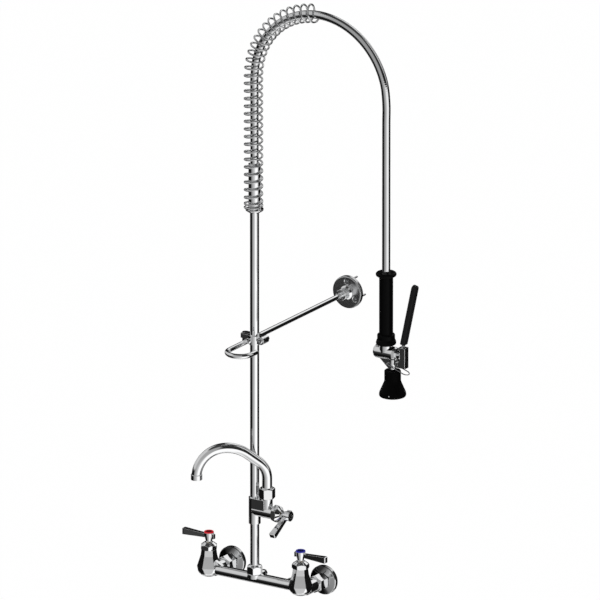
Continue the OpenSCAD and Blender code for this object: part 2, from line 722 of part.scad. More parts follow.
module bracket_hub() color(chrome) at_plate() difference() {
    union() {
        translate([0, 0, -hub_l]) rotate([0, 0, 30]) hex_block(hub_hex_r, hub_hex_l, 2);
        translate([0, 0, hub_hex_l - hub_l - 1]) cylinder(r1 = hub_hex_r - 2, r2 = hub_collar_r, h = 4);
        translate([0, 0, 3 + hub_hex_l - hub_l]) cylinder(r = hub_collar_r, h = hub_l - hub_hex_l - 3);
    }
    translate([0, 0, -hub_l - 1]) cylinder(d = rod_d, h = 60);
    translate([0, 0, -hub_l - 1]) cylinder(r1 = 8, r2 = rod_d / 2, h = 3.2);
}

module wall_plate() color(chrome) at_plate() difference() {
    rotate_extrude() polygon([
        [0, 0], [plate_d / 2 - 2, 0], [plate_d / 2 - 0.5, 0.6], [plate_d / 2, 2],
        [plate_d / 2, plate_t], [plate_d / 2 - 3, plate_t], [plate_d / 2 - 4, 3.5], [16.5, 3.5],
        [16.5, plate_t], [0, plate_t],
    ]);
    translate([0, 0, -1]) cylinder(d = rod_d, h = 4);
    for (a = [90, 210, 330]) rotate([0, 0, -a]) translate([plate_screw_pcd / 2, 0, 0]) {
        translate([0, 0, -1]) cylinder(r = sink_r - 3.5, h = plate_t + 2);
        cylinder(r1 = sink_r, r2 = sink_r - 3.5, h = 3.5);
    }
}

screw_end = plate_t + plate_screw_out;
module bracket_screws() color(steel) at_plate() for (a = [90, 210, 330])
    rotate([0, 0, -a]) translate([plate_screw_pcd / 2, 0, 0]) difference() {
        union() {
            translate([0, 0, screw_sunk])
                cylinder(r1 = screw_head_wide, r2 = plate_screw_r, h = screw_head_wide - plate_screw_r);
            translate([0, 0, screw_sunk]) cylinder(r = plate_screw_r, h = screw_end - 4 - screw_sunk);
            translate([0, 0, screw_end - 4]) cylinder(r1 = plate_screw_r, r2 = 0.2, h = 4);
        }
        for (turn = [0, 90]) rotate([0, 0, turn])
            translate([-2.4, -0.6, screw_sunk - 1]) cube([4.8, 1.2, 2.2]);
    }

// ---- spray valve -------------------------------------------------------------------------

fitting_r = 8;
swivel_r = 6;
swivel_low = 512;
fitting_low = 530;
grip_low = 510.5;
grip_top = hose_end_z - inlet_drop + 2.2;

module hose_end_fitting() color(steel) at_spray() difference() {
    union() {
        translate([0, 0, fitting_low]) cylinder(r = fitting_r, h = hose_end_z - inlet_drop - fitting_low);
        translate([0, 0, swivel_low]) cylinder(r = swivel_r, h = fitting_low - swivel_low);
    }
    translate([0, 0, swivel_low - 1]) cylinder(r = 4, h = 200);
}

module grip_sleeve() color(black) at_spray() difference() {
    union() {
        rotate_extrude() polygon([
            [0, grip_low], [16.5, grip_low], [18.6, grip_low + 1.6], [19, grip_low + 4],
            [18, grip_low + 8], [16.6, grip_low + 10.5], [16.6, grip_low + 18.6], [15.8, grip_low + 20],
            [13, grip_low + 20.6], [13, grip_top - 9], [14.4, grip_top - 7], [14.4, grip_top], [0, grip_top],
        ]);
        translate([0, 0, grip_top - 4]) rotate_extrude() translate([15.4, 0]) circle(r = 4, $fn = 24);
    }
    translate([0, 0, grip_low - 1]) cylinder(r = barrel_r, h = fitting_low - grip_low + 1);
    translate([0, 0, grip_low]) cylinder(r = fitting_r + 0.5, h = 200);
}

module spray_body() color(chrome) at_spray() difference() {
    union() {
        translate([0, 0, spray_z]) cylinder(r = barrel_r, h = fitting_low - 0.3 - spray_z);
        translate([barrel_left, 0, spray_z]) along_x() rotate_extrude() polygon([
            [0, 0], [barrel_r - 3.8, 0], [barrel_r - 0.8, 2.4], [barrel_r, 5],
            [barrel_r, barrel_right - barrel_left - 5], [barrel_r - 1.4, barrel_right - barrel_left],
            [0, barrel_right - barrel_left],
        ]);
        translate([neck_x, 0, head_top]) cylinder(r = spray_neck_r, h = spray_z - head_top);
        hull() {
            translate([-14, -2.5, spray_z - 11.5]) cube([22, 5, 4]);
            translate([neck_x - 9, -2.5, 466]) cube([6, 5, 4]);
        }
        translate([neck_x, 0, head_low]) cylinder(r = head_r, h = head_top - head_low);
        hull() {
            translate([neck_x, -lug_w / 2, spray_z - 12]) cube([10, lug_w, 4]);
            translate([pivot_x, lug_w / 2, pivot_z]) rotate([90, 0, 0])
                cylinder(r = 4.6, h = lug_w, $fn = 32);
        }
    }
    translate([barrel_left + 5, 0, spray_z]) along_x() cylinder(r = barrel_bore_r, h = 80);
    translate([0, 0, spray_z]) cylinder(r = 4, h = 60);
    translate([0, 0, swivel_low - body_gap]) cylinder(r = swivel_r + run_gap, h = 40);
    translate([neck_x, 0, head_low]) cylinder(r = 4, h = spray_z - head_low);
    translate([neck_x, 0, head_low - 1]) cylinder(r = 9, h = 10);
    translate([pivot_x, 20, pivot_z]) rotate([90, 0, 0]) cylinder(r = pin_r, h = 40);
    translate([ring_x, 20, ring_z]) rotate([90, 0, 0]) cylinder(r = ring_wire_r + 0.08, h = 40);
}

module spray_bonnet() color(chrome) at_spray() translate([0, 0, spray_z]) along_x() difference() {
    union() {
        translate([0, 0, barrel_right - 8]) cylinder(r = barrel_bore_r, h = 8);
        translate([0, 0, barrel_right]) hex_block(8.6, 2, 0.5);
    }
    cylinder(r = plunger_r + run_gap, h = 60);
}

// The plunger ends in a blunt cone just short of the inside of the saddle.
plunger_tip = saddle_right - saddle_wall - body_gap;
module plunger() color(steel) at_spray() translate([0, 0, spray_z]) along_x() {
    translate([0, 0, plunger_face]) cylinder(r = 6.4, h = 4);
    translate([0, 0, plunger_face]) cylinder(r = plunger_r, h = plunger_tip - 2 - plunger_face);
    translate([0, 0, plunger_tip - 2]) cylinder(r1 = plunger_r, r2 = 1.2, h = 2);
}

module plunger_spring() color(steel) at_spray() translate([0, 0, spray_z]) along_x()
    pipe(6, 4, barrel_left + 5, plunger_face - barrel_left - 5);

module pivot_pin() color(steel) at_spray() translate([pivot_x, 6.7, pivot_z]) rotate([90, 0, 0])
    cylinder(r = pin_r, h = 13.4);

// Moves to the line of the squeeze lever: +Z runs up it from the height of the saddle's top.
strap_x = 37.4;
module at_lever() translate([strap_x, 0, saddle_top]) rotate([0, lever_tilt, 0]) children();

module squeeze_lever() color(steel) at_spray() difference() {
    union() {
        for (y = [-saddle_w / 2, saddle_w / 2 - saddle_wall]) translate([0, y + saddle_wall, 0])
            rotate([90, 0, 0]) linear_extrude(saddle_wall) {
                translate([pivot_x, pivot_z]) circle(r = 5, $fn = 32);
                polygon([
                    [pivot_x, pivot_z - 5], [saddle_right, saddle_low], [saddle_right, saddle_top],
                    [saddle_left, saddle_top], [saddle_left, saddle_top - 3.5],
                    [saddle_left + 2.5, saddle_top - 6], [saddle_left + 2.5, pivot_z + 10.5],
                    [pivot_x + 2.5, pivot_z + 4.4], [pivot_x - 3, pivot_z + 4],
                ]);
            }
        translate([saddle_right - saddle_wall, -saddle_w / 2, saddle_low])
            cube([saddle_wall, saddle_w, saddle_top - saddle_low]);
        translate([saddle_left, -saddle_w / 2, saddle_top - saddle_wall])
            cube([saddle_right - saddle_left, saddle_w, saddle_wall]);
        at_lever() translate([-1.3, -4.5, -2]) cube([2.6, 9, 124]);
    }
    translate([pivot_x, 20, pivot_z]) rotate([90, 0, 0]) cylinder(r = pin_r + run_gap, h = 40);
}

// The coating is a flat bar with round ends and soft edges.
grip_w = 14.4;
grip_t = 9.2;
grip_l = 128.5;
module lever_grip() color(black) at_spray() at_lever() difference() {
    hull() {
        translate([0, 0, 7]) cube([grip_t - 2.4, grip_w, 0.4], center = true);
        translate([0, 0, 7]) cube([grip_t, grip_w - 2.4, 0.4], center = true);
        for (t = [[grip_t - 2.4, 0], [grip_t, 1.2]]) translate([-t[0] / 2, 0, grip_l - grip_w / 2])
            rotate([0, 90, 0]) cylinder(r = grip_w / 2 - t[1], h = t[0], $fn = 24);
    }
    translate([-1.3, -4.5, -3]) cube([2.6, 9, 125]);
}

module spray_face() color(steel) at_spray() translate([neck_x, 0, head_low - 2]) difference() {
    union() {
        cylinder(r = 12, h = 2);
        translate([0, 0, 2]) cylinder(r = 9, h = 3);
    }
    for (ring = [[4, 6], [7.5, 12]], k = [0:ring[1] - 1]) rotate([0, 0, 360 * k / ring[1]])
        translate([ring[0], 0, -1]) cylinder(r = 0.7, h = 10, $fn = 16);
}

module bumper() color(black) at_spray() translate([neck_x, 0, 0]) rotate_extrude() polygon([
    [spray_neck_r, bumper_top - 2.5], [8.4, bumper_top - 2.5], [9.6, bumper_top],
    [14.4, bumper_top], [15.5, bumper_top - 1.4], [15.5, 443], [16.2, 440], [24.6, 420.5],
    [25.3, 417], [25.2, 414.5], [24.2, 412.6], [22.8, 412], [21.4, 412.8],
    [20.6, 416], [15.5, 428], [head_r, 430], [head_r, head_top], [spray_neck_r, head_top],
]);

// A wire loop hinged in the web of the spray body, which hangs just over the bumper.
module hold_ring() color(steel) at_spray() translate([ring_x, 0, ring_z]) rotate([0, ring_drop, 0]) {
    straight = ring_half_w - ring_corner_r;
    translate([0, -straight, 0]) along_y() cylinder(r = ring_wire_r, h = 2 * straight, $fn = 16);
    for (side = [-1, 1]) {
        translate([ring_corner_r, side * ring_half_w, 0]) along_x()
            cylinder(r = ring_wire_r, h = ring_l - ring_corner_r, $fn = 16);
        translate([ring_corner_r, side * straight, 0]) wire_bend(ring_corner_r, side < 0 ? 180 : 90, 90);
    }
    translate([ring_l, 0, 0]) wire_bend(ring_half_w, -90, 180);
}

module wire_bend(r, from, turn) rotate([0, 0, from]) rotate_extrude(angle = turn)
    translate([r, 0]) circle(r = ring_wire_r, $fn = 16);

// ---- nodes -------------------------------------------------------------------------------

faucet_body();
hot_cartridge();
cold_cartridge();
hot_bonnet();
cold_bonnet();
hot_union_nut();
cold_union_nut();
hot_inlet_arm();
cold_inlet_arm();
hot_wall_flange();
cold_wall_flange();
union_washers();
body_plug();
riser_nut();
lower_riser();
spout_tee();
tee_cartridge();
tee_bonnet();
upper_riser();
spout_nut();
hose_washer();
hose_coupling();
hose();
spring_seat();
overhead_spring();
hot_stem();
hot_handle();
hot_handle_screw();
hot_index_button();
cold_stem();
cold_handle();
cold_handle_screw();
cold_index_button();
tee_stem();
tee_handle();
tee_handle_screw();
tee_index_button();
spout_tube();
spout_bushing();
outlet_collar();
outlet_screen();
clamp_front();
clamp_rear();
clamp_screw();
bracket_rod();
bracket_hub();
wall_plate();
bracket_screws();
hose_end_fitting();
grip_sleeve();
spray_body();
spray_bonnet();
bumper();
spray_face();
pivot_pin();
squeeze_lever();
lever_grip();
plunger();
plunger_spring();
hold_ring();
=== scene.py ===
import math

import bpy
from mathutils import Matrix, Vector


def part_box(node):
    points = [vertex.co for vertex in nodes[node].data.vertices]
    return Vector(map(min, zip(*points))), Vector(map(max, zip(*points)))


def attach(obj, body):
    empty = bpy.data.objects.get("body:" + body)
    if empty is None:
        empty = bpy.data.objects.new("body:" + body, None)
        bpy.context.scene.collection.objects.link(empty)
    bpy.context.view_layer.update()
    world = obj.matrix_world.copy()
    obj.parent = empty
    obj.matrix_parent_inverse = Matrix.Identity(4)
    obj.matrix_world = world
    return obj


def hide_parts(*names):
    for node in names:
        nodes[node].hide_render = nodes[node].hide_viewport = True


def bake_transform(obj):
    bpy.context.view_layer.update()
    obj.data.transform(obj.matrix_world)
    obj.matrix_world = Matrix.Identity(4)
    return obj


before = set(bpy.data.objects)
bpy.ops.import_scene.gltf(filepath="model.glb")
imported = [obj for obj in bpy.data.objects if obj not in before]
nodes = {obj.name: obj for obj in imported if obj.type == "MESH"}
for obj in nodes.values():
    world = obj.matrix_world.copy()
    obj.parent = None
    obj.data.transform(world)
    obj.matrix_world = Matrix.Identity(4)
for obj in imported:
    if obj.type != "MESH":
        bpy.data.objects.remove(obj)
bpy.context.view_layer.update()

# Places in metres, in the frame's own axes
FACE_Y = -0.084       # the upright plane that holds the riser, the hose and the spring
BAR_Z = 0.009         # the height of the mixing body's bar above the inlets
INLET_X = 0.1016      # half the distance between the two supply inlets

# ---- camera ---------------------------------------------------------------------------------

AIM = Vector((0.1001, -0.0836, 0.5710))
AZIMUTH, ELEVATION = math.radians(32.87), math.radians(18.46)
DISTANCE = 51.0       # nearly parallel, as the photograph is
SEEN = 1.112          # width of the view at the aim point

back = Vector((math.sin(AZIMUTH) * math.cos(ELEVATION),
               -math.cos(AZIMUTH) * math.cos(ELEVATION), math.sin(ELEVATION)))
cam_data = bpy.data.cameras.new("camera")
cam_data.sensor_width = 36.0
cam_data.lens = 36.0 * DISTANCE / SEEN
cam_data.clip_start, cam_data.clip_end = 10.0, 200.0
camera = bpy.data.objects.new("camera", cam_data)
bpy.context.scene.collection.objects.link(camera)
camera.location = AIM + back * DISTANCE
camera.rotation_euler = (-back).to_track_quat("-Z", "Y").to_euler()
bpy.context.scene.camera = camera


# ---- mesh helpers ---------------------------------------------------------------------------

def new_object(name, verts, faces):
    """A smooth-shaded mesh object, linked into the scene."""
    mesh = bpy.data.meshes.new(name)
    mesh.from_pydata([tuple(v) for v in verts], [], faces)
    mesh.validate()
    mesh.update()
    obj = bpy.data.objects.new(name, mesh)
    bpy.context.scene.collection.objects.link(obj)
    mesh.polygons.foreach_set("use_smooth", [True] * len(mesh.polygons))
    return obj


def sweep_faces(rings, sides):
    """The faces of a closed tube through rings of as many vertices as it has sides."""
    faces = []
    for i in range(rings - 1):
        for k in range(sides):
            a, b = i * sides + k, i * sides + (k + 1) % sides
            faces.append((a, b, b + sides, a + sides))
    last = (rings - 1) * sides
    faces.append(tuple(range(sides - 1, -1, -1)))
    faces.append(tuple(range(last, last + sides)))
    return faces


def smooth_path(points, step):
    """Points about one step apart on the Catmull-Rom curve through the given points."""
    pts = [points[0] * 2 - points[1]] + list(points) + [points[-1] * 2 - points[-2]]
    out = []
    for i in range(1, len(pts) - 2):
        p0, p1, p2, p3 = pts[i - 1:i + 3]
        n = max(2, round((p2 - p1).length / step))
        for k in range(n):
            t = k / n
            out.append(0.5 * (2 * p1 + (p2 - p0) * t + (2 * p0 - 5 * p1 + 4 * p2 - p3) * t * t
                              + (3 * p1 - p0 - 3 * p2 + p3) * t * t * t))
    out.append(points[-1].copy())
    return out


# ---- the hose -------------------------------------------------------------------------------

HOSE_D = 0.0155
HOSE_ROUTE = [        # the hose's centreline from coupling to grip, as (x, z) in millimetres
    (0, 819), (0, 850), (0, 885), (0, 920), (0, 955), (0, 988),
    (5, 1025.5), (19.5, 1060.5), (42.5, 1090.5), (72.5, 1113.5), (107.5, 1128), (145, 1133),
    (182.5, 1128), (217.5, 1113.5), (247.5, 1090.5), (270.5, 1060.5), (285, 1025.5),
    (290, 988), (290, 950), (290, 910), (290, 870), (290, 830), (290, 790),
    (290, 750), (290, 715), (290, 685), (290, 658),
]
hose_points = [Vector((x / 1000, FACE_Y, z / 1000)) for x, z in HOSE_ROUTE]
RIB = 0.0042          # pitch of the wound strip
GROOVE_DEPTH = 0.0001
GROOVE_WIDTH = 0.10   # half width of the groove, as a share of the pitch
hose_path = smooth_path(hose_points, RIB / 5)


def hose_mesh():
    """A tube of wound strip: a smooth wall with a fine closed groove at each turn."""
    sides, verts, run = 40, [], 0.0
    for i, p in enumerate(hose_path):
        a, b = hose_path[max(0, i - 1)], hose_path[min(len(hose_path) - 1, i + 1)]
        along = (b - a).normalized()
        side = Vector((0, 1, 0))
        out = along.cross(side)
        if i:
            run += (p - hose_path[i - 1]).length
        for k in range(sides):
            turn = 2 * math.pi * k / sides
            phase = (run / RIB + k / sides) % 1.0
            groove = GROOVE_DEPTH * math.exp(-((phase - 0.5) / GROOVE_WIDTH) ** 2)
            r = HOSE_D / 2 - groove
            verts.append(p + out * r * math.cos(turn) + side * r * math.sin(turn))
    return new_object("flex_hose", verts, sweep_faces(len(hose_path), sides))


hose = hose_mesh()

# ---- the overhead spring ----------------------------------------------------------------------

SPRING_D, WIRE_D = 0.033, 0.0036
SEAT_RISE = 0.7225    # from the bar up to the spring's seat
SPRING_FOOT = BAR_Z + SEAT_RISE + WIRE_D / 2
SPRING_LIFT = 0.0022  # the coil's line lies this far outside the hose's
CLOSE_TURNS, CLOSE_PITCH = 1.5, 0.0075
OPEN_TURNS, OPEN_PITCH = 31.1, 0.0148
WIRE_END = (0.72, 0.93)         # shares of the wire's radius in the outer rings of a cut end
ARCH_Z, ARCH_R = 0.988, 0.145   # the height at which the hose bends over, and the bend's radius


def spring_rise(turns):
    """How far along the hose the coil has come after so many turns."""
    return min(turns, CLOSE_TURNS) * CLOSE_PITCH + max(0.0, turns - CLOSE_TURNS) * OPEN_PITCH


def round_hose(s, r, angle):
    """The place at radius r and an angle round the coil's line, s along it from the foot."""
    straight = ARCH_Z - SPRING_FOOT
    bend = max(0.0, s - straight) / ARCH_R
    out = ARCH_R + SPRING_LIFT + r * math.cos(angle)
    reach = ARCH_R - out * math.cos(bend)
    rise = out * math.sin(bend)
    return Vector((reach, FACE_Y + r * math.sin(angle), SPRING_FOOT + min(s, straight) + rise))


def spring_point(turns):
    return round_hose(spring_rise(turns), SPRING_D / 2, -2 * math.pi * turns)


def spring_mesh():
    per_turn, sides = 48, 14
    total = CLOSE_TURNS + OPEN_TURNS
    rings = int(total * per_turn)
    verts = []
    for i in range(rings + 1):
        turns = total * i / rings
        p = spring_point(turns)
        along = (spring_point(turns + 0.01) - spring_point(turns - 0.01)).normalized()
        out = (p - round_hose(spring_rise(turns), 0, 0)).normalized()
        u = (out - along * out.dot(along)).normalized()
        v = along.cross(u)
        from_end = min(i, rings - i)
        r = WIRE_D / 2 * (WIRE_END[from_end] if from_end < len(WIRE_END) else 1.0)
        for k in range(sides):
            a = 2 * math.pi * k / sides
            verts.append(p + r * (math.cos(a) * u + math.sin(a) * v))
    return new_object("balance_spring", verts, sweep_faces(rings + 1, sides))


spring = spring_mesh()


# ---- materials --------------------------------------------------------------------------------

class Mat:
    """A material with a Principled shader and short names for what is added to it."""

    COAT_ROUGH = 0.05

    def __init__(self, name, color, rough, metallic=0.0, specular=0.5, coat=0.0):
        self.mat = bpy.data.materials.new(name)
        self.mat.use_nodes = True
        self.tree = self.mat.node_tree
        self.bsdf = self.tree.nodes["Principled BSDF"]
        self.set("Base Color", (*color, 1.0))
        self.set("Roughness", rough)
        self.set("Metallic", metallic)
        self.set("Specular IOR Level", specular)
        if coat:
            self.set("Coat Weight", coat)
            self.set("Coat Roughness", self.COAT_ROUGH)
        self.coord = self.tree.nodes.new("ShaderNodeTexCoord").outputs["Object"]

    def set(self, socket, value):
        self.bsdf.inputs[socket].default_value = value

    def link(self, a, b):
        self.tree.links.new(a, b)

    def node(self, kind, **values):
        n = self.tree.nodes.new("ShaderNode" + kind)
        for key, value in values.items():
            if hasattr(n, key):
                setattr(n, key, value)
            else:
                n.inputs[key.replace("_", " ")].default_value = value
        return n

    def noise(self, scale, detail=3.0, stretch=(1, 1, 1)):
        m = self.node("Mapping")
        m.inputs["Scale"].default_value = stretch
        self.link(self.coord, m.inputs["Vector"])
        n = self.node("TexNoise", Scale=scale, Detail=detail)
        self.link(m.outputs["Vector"], n.inputs["Vector"])
        return n.outputs["Fac"]

    def spread(self, value, low, high, from_low=0.3, from_high=0.7):
        """The value mapped on to a range."""
        n = self.node("MapRange", From_Min=from_low, From_Max=from_high, To_Min=low, To_Max=high)
        self.link(value, n.inputs["Value"])
        return n.outputs["Result"]

    def colours(self, value, stops):
        """The base colour from a value, through (value, colour) stops."""
        n = self.node("ValToRGB")
        ramp = n.color_ramp
        while len(ramp.elements) < len(stops):
            ramp.elements.new(0.5)
        for e, (at, color) in zip(ramp.elements, stops):
            e.position = at
            e.color = (*color, 1.0)
        self.link(value, n.inputs["Fac"])
        self.link(n.outputs["Color"], self.bsdf.inputs["Base Color"])
        return n.outputs["Color"]

    def roughness(self, value, low, high):
        self.link(self.spread(value, low, high), self.bsdf.inputs["Roughness"])

    def bump(self, layers, edge=0.0):
        """layers: (height socket, distance in metres) pairs, laid over each other and over edges
        that are softened by the given radius."""
        normal = None
        if edge:
            soft = self.node("Bevel", samples=6)
            soft.inputs["Radius"].default_value = edge
            normal = soft.outputs["Normal"]
        for height, distance in layers:
            b = self.node("Bump", Strength=1.0, Distance=distance)
            self.link(height, b.inputs["Height"])
            if normal is not None:
                self.link(normal, b.inputs["Normal"])
            normal = b.outputs["Normal"]
        self.link(normal, self.bsdf.inputs["Normal"])


GRAIN = 300           # noise scale of the metals' fine grain


def chrome(name, wave_scale, wave_depth, grain, grain_depth, tint=(0.93, 0.935, 0.94),
           rough=(0.02, 0.06), edge=0.0):
    """Polished metal: a thin film of uneven sheen over broad waves and a fine grain, which is
    stretched along the axes by the three factors of grain."""
    m = Mat(name, tint, 0.05, metallic=1.0)
    film = m.noise(26, 4)
    m.roughness(film, *rough)
    m.colours(film, [(0.30, tuple(c * 0.95 for c in tint)), (0.70, tint)])
    m.bump([(m.noise(wave_scale, 2), wave_depth), (m.noise(GRAIN, 2, grain), grain_depth)], edge)
    return m.mat


MATS = {
    "chrome_cast": chrome("chrome_cast", 60, 0.00003, (1, 1, 1), 0.000002, edge=0.0008),
    "chrome_tube": chrome("chrome_tube", 10, 0.00001, (1, 1, 0.03), 0.0000005),
    "chrome_rod": chrome("chrome_rod", 10, 0.00001, (1, 0.03, 1), 0.000001),
    "chrome_sheet": chrome("chrome_sheet", 30, 0.00004, (1, 1, 1), 0.000002, edge=0.0012),
    # painted shade: the plate's tint is darker than real chrome
    "chrome_plate": chrome("chrome_plate", 30, 0.00004, (1, 1, 1), 0.000002, (0.62, 0.625, 0.63),
                           (0.16, 0.22), edge=0.0008),
    # painted shade: the hose's tint is darker than real chrome
    "hose_steel": chrome("hose_steel", 20, 0.00003, (1, 1, 0.2), 0.000004, (0.76, 0.765, 0.77),
                         (0.06, 0.12)),
    # painted shade: the spring wire's tint is darker than real chrome
    "spring_wire": chrome("spring_wire", 60, 0.00003, (1, 1, 1), 0.000004, (0.75, 0.755, 0.76),
                          (0.03, 0.07)),
    # painted shade: the hold ring's tint is much darker than real chrome
    "ring_wire": chrome("ring_wire", 60, 0.00003, (1, 1, 1), 0.000004, (0.42, 0.42, 0.43),
                        (0.08, 0.16)),
    "steel": chrome("steel", 60, 0.00004, (1, 1, 1), 0.000006, (0.74, 0.75, 0.76), (0.14, 0.26)),
    "brass": chrome("brass", 60, 0.00004, (1, 1, 1), 0.000006, (0.72, 0.56, 0.28), (0.18, 0.32)),
}


SHADE_SIDE = (0.80, 0.0, -0.60)     # painted reflection: from the flange's dark upper left to its pale lower right
SHADE_FROM, SHADE_TO = -0.014, 0.002


def flange_chrome_painted_reflection(name, x):
    """Chrome with a painted reflection: a fixed tint from dark to pale, painted by place, that
    stands for the valve in front of it.
    """
    m = Mat(name, (0.5, 0.5, 0.5), 0.05, metallic=1.0)
    m.roughness(m.noise(26, 4), 0.03, 0.08)
    off = m.node("VectorMath", operation="SUBTRACT")
    m.link(m.coord, off.inputs[0])
    off.inputs[1].default_value = (x, 0.0, 0.0)
    lean = m.node("VectorMath", operation="DOT_PRODUCT")
    m.link(off.outputs["Vector"], lean.inputs[0])
    lean.inputs[1].default_value = SHADE_SIDE
    # painted reflection: dark towards the upper left, pale towards the lower right
    m.colours(m.spread(lean.outputs["Value"], 0, 1, SHADE_FROM, SHADE_TO),
              [(0.0, (0.05, 0.05, 0.05)), (1.0, (0.66, 0.665, 0.67))])
    m.bump([(m.noise(22, 2), 0.00004)], edge=0.0006)
    return m.mat


MATS["hot_flange"] = flange_chrome_painted_reflection("hot_flange", -INLET_X)
MATS["cold_flange"] = flange_chrome_painted_reflection("cold_flange", INLET_X)


def black(name, color, rough, pores, pore_depth, specular):
    """Black plastic or rubber with fine pores; pores is their noise scale."""
    m = Mat(name, color, rough, specular=specular)
    n = m.noise(pores, 4)
    m.roughness(n, rough * 0.85, rough * 1.2)
    m.colours(n, [(0.3, tuple(c * 0.7 for c in color)), (0.7, color)])
    m.bump([(m.noise(40, 2), 0.00008), (n, pore_depth)])
    return m.mat


def distance_from(m, place):
    """The distance of a surface point from a place, as a value in material m."""
    off = m.node("VectorMath", operation="DISTANCE")
    off.inputs[1].default_value = place
    m.link(m.coord, off.inputs[0])
    return off.outputs["Value"]


PALE_DOT = (0.3116, -0.1081, 0.4275)
PALE_DOT_R, PALE_DOT_EDGE = 0.0008, 0.0013  # the pale dot's full and faded radius


def bumper_material():
    """Black rubber with one small pale dot on the flare."""
    m = Mat("bumper_rubber", (0.002, 0.002, 0.002), 0.5, specular=0.03)
    n = m.noise(900, 4)
    m.roughness(n, 0.42, 0.6)
    rubber = m.colours(n, [(0.3, (0.0007, 0.0007, 0.0007)), (0.7, (0.0020, 0.0020, 0.0020))])
    # a pale dot painted on the flare, fading out at its edge
    pale_dot = m.node("MixRGB")
    m.link(m.spread(distance_from(m, PALE_DOT), 1, 0, PALE_DOT_R, PALE_DOT_EDGE), pale_dot.inputs["Fac"])
    m.link(rubber, pale_dot.inputs["Color1"])
    pale_dot.inputs["Color2"].default_value = (0.42, 0.42, 0.42, 1.0)
    m.link(pale_dot.outputs["Color"], m.bsdf.inputs["Base Color"])
    m.bump([(m.noise(40, 2), 0.00006), (n, 0.00001)])
    return m.mat


MATS["grip_plastic"] = black("grip_plastic", (0.0020, 0.0020, 0.0021), 0.36, 1500, 0.00001, 0.05)
MATS["bumper_rubber"] = bumper_material()
MATS["vinyl"] = black("vinyl", (0.012, 0.012, 0.0123), 0.42, 700, 0.00001, 0.08)
MATS["dark_rubber"] = black("dark_rubber", (0.02, 0.02, 0.02), 0.6, 700, 0.00002, 0.3)


DISH_START, DISH_END = 0.54, 0.76   # where the painted shade of the dish fades out, as shares of the radius
VALVE_BUTTON_R, TEE_BUTTON_R = 0.0092, 0.005


def button_material(name, place, radius, rim, middle):
    """Glossy plastic with painted shade: darker in the dished middle than on the rim."""
    m = Mat(name, rim, 0.18, specular=0.3, coat=0.25)
    outward = m.spread(distance_from(m, place), 0, 1, DISH_START * radius, DISH_END * radius)
    # painted shade: the dished middle is darker than the rim
    m.colours(outward, [(0.0, middle), (1.0, rim)])
    m.roughness(m.noise(400, 3), 0.14, 0.24)
    m.bump([(m.noise(120, 2), 0.00004)])
    return m.mat


def middle_of(name):
    lo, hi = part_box(name)
    return (Vector(lo) + Vector(hi)) / 2


MATS["red"] = button_material("red", middle_of("hot_index_button"), VALVE_BUTTON_R,
                              (0.62, 0.010, 0.022), (0.10, 0.002, 0.005))
MATS["blue"] = button_material("blue", middle_of("cold_index_button"), VALVE_BUTTON_R,
                               (0.02, 0.022, 0.32), (0.004, 0.005, 0.06))
MATS["tee_black"] = button_material("tee_black", middle_of("tee_index_button"), TEE_BUTTON_R,
                                    (0.03, 0.03, 0.03), (0.008, 0.008, 0.008))

FINISH = {
    "chrome_cast": "faucet_body hot_bonnet cold_bonnet hot_union_nut cold_union_nut "
                   "hot_inlet_arm cold_inlet_arm body_plug riser_nut spout_tee tee_bonnet "
                   "spout_nut hose_coupling spring_seat hot_handle cold_handle tee_handle "
                   "outlet_collar clamp_front clamp_rear bracket_hub spray_body spray_bonnet",
    "chrome_tube": "lower_riser upper_riser spout_tube",
    "chrome_rod": "bracket_rod",
    "chrome_sheet": "squeeze_lever",
    "chrome_plate": "wall_plate",
    "hot_flange": "hot_wall_flange",
    "cold_flange": "cold_wall_flange",
    "spring_wire": "overhead_spring",
    "ring_wire": "hold_ring",
    "hose_steel": "hose",
    "steel": "hot_handle_screw cold_handle_screw tee_handle_screw outlet_screen clamp_screw "
             "bracket_screws hose_end_fitting spray_face pivot_pin plunger plunger_spring",
    "brass": "hot_cartridge cold_cartridge tee_cartridge hot_stem cold_stem tee_stem",
    "bumper_rubber": "bumper",
    "dark_rubber": "union_washers hose_washer spout_bushing",
    "grip_plastic": "grip_sleeve",
    "vinyl": "lever_grip",
    "red": "hot_index_button",
    "blue": "cold_index_button",
    "tee_black": "tee_index_button",
}


def paint(obj, finish):
    """Give an object one of the finishes in place of the materials it has."""
    obj.data.materials.clear()
    obj.data.materials.append(MATS[finish])


for finish, names in FINISH.items():
    for name in names.split():
        paint(nodes[name], finish)

paint(hose, "hose_steel")
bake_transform(hose)
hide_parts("hose")

paint(spring, "spring_wire")
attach(spring, "faucet")
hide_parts("overhead_spring")

# ---- floor and light ----------------------------------------------------------------------------

FLOOR_Z = -0.35       # the faucet hangs on a wall, so the floor lies well below it
FLOOR_R = 60.0
FLOOR_WHITE = 0.985   # share of plain white in the floor that the camera sees


